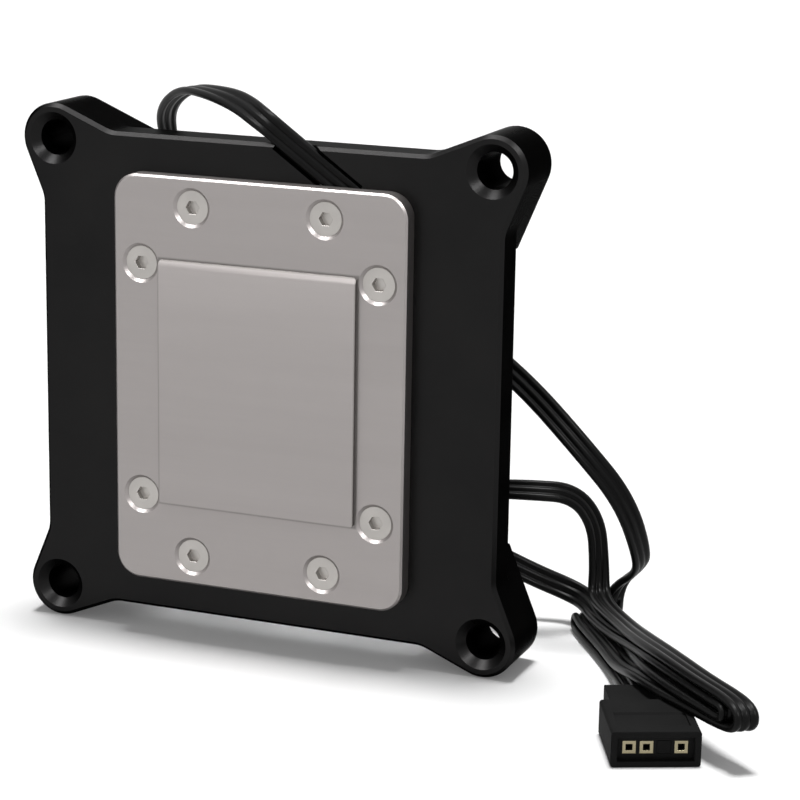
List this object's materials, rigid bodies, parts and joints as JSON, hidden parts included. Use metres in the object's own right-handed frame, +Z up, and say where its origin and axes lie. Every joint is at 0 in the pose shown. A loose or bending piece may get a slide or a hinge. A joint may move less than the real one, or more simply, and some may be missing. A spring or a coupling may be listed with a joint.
{
  "type": "liquid cooling cold plate",
  "caption": "Square processor cooling block with a stepped plated cold plate, black frame with round screw ears, clear top with threaded ports, and a lighting cable with a flat plug.",
  "frame": {"origin": "middle of the block's box, on the surface it stands on, the cable left aside", "axes": "+Z up, +X to the right seen from the cold plate side, cold plate facing -Y, ports facing +Y"},
  "size_m": [0.1274, 0.0673, 0.0898],
  "materials": {
    "frame_black": "black anodised, satin, with a fine even grain and slightly brighter chamfered edges",
    "nickel_plate": "satin nickel plating on copper, warm grey",
    "screw_steel": "plain steel, countersunk, hexagon socket",
    "clear_acrylic": "clear acrylic, polished outside, milled inside",
    "seal_rubber": "black nitrile",
    "jet_steel": "bare stainless sheet",
    "insert_plastic": "black acetal",
    "board_white": "white solder resist",
    "led_body": "white body with a yellowish clear lens",
    "capacitor_tan": "tan ceramic",
    "cable_black": "black PVC, semi-gloss",
    "plug_black": "black moulded nylon, fine texture",
    "contact_gold": "gold-plated spring contacts"
  },
  "bodies": {
    "root": {"frame": "frame_black", "cold_plate": "nickel_plate", "cold_plate_screws": "screw_steel", "clear_top": "clear_acrylic", "main_o_ring": "seal_rubber", "jet_plate": "jet_steel", "flow_insert": "insert_plastic", "led_board": "board_white", "leds": "led_body", "led_capacitors": "capacitor_tan", "cable_flat": "cable_black", "cable_lead": "cable_black", "cable_loop": "cable_black", "cable_tail": "cable_black", "cable_hank": "cable_black", "plug_housing": "plug_black", "plug_contacts": "contact_gold", "plug_blank": "plug_black"}
  },
  "joints": []
}
